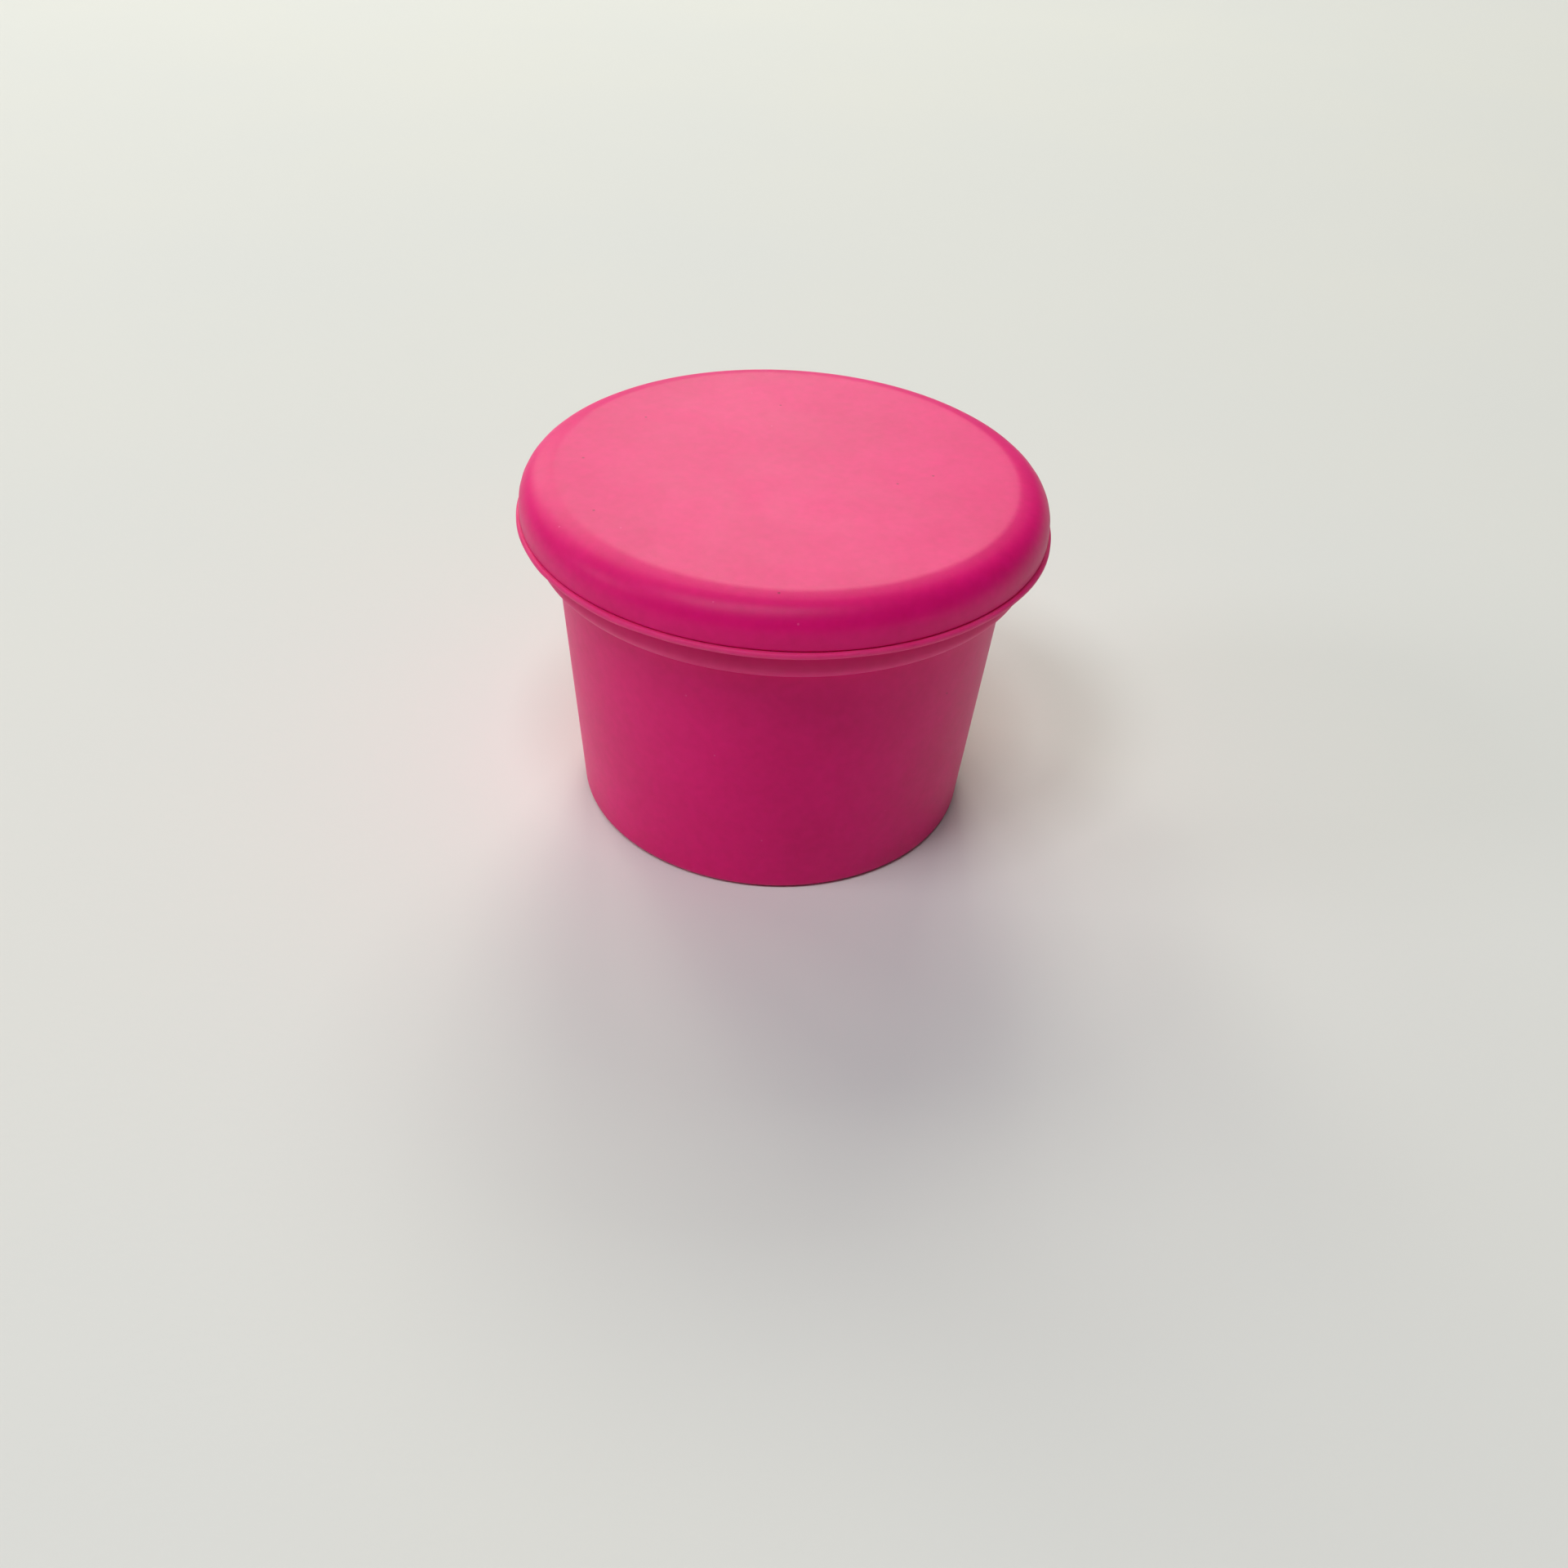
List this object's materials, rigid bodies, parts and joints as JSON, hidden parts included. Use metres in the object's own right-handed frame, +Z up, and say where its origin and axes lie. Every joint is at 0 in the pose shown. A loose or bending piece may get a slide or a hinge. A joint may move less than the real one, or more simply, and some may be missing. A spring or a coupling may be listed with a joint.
{
  "type": "lidded dappen dish",
  "caption": "Soft silicone dappen dish: a small tapered cup with a collared lip, closed by a mushroom-shaped plug lid that pulls straight off.",
  "frame": {"origin": "centre of the ring that the cup stands on, on the surface under it", "axes": "+Z up along the dish's own axis, through the lid; X and Y are any two directions across it, because it is round"},
  "size_m": [0.042, 0.042, 0.029],
  "materials": {
    "cup_silicone": "matte moulded silicone, deep pink",
    "lid_silicone": "matte moulded silicone, deep pink"
  },
  "bodies": {
    "cup": {"cup": "cup_silicone"},
    "lid": {"lid": "lid_silicone"}
  },
  "joints": [
    {"name": "lid_lift", "type": "slide", "parent": "cup", "child": "lid", "axis": [0, 0, 1], "range_m": [0, 0.04]}
  ]
}
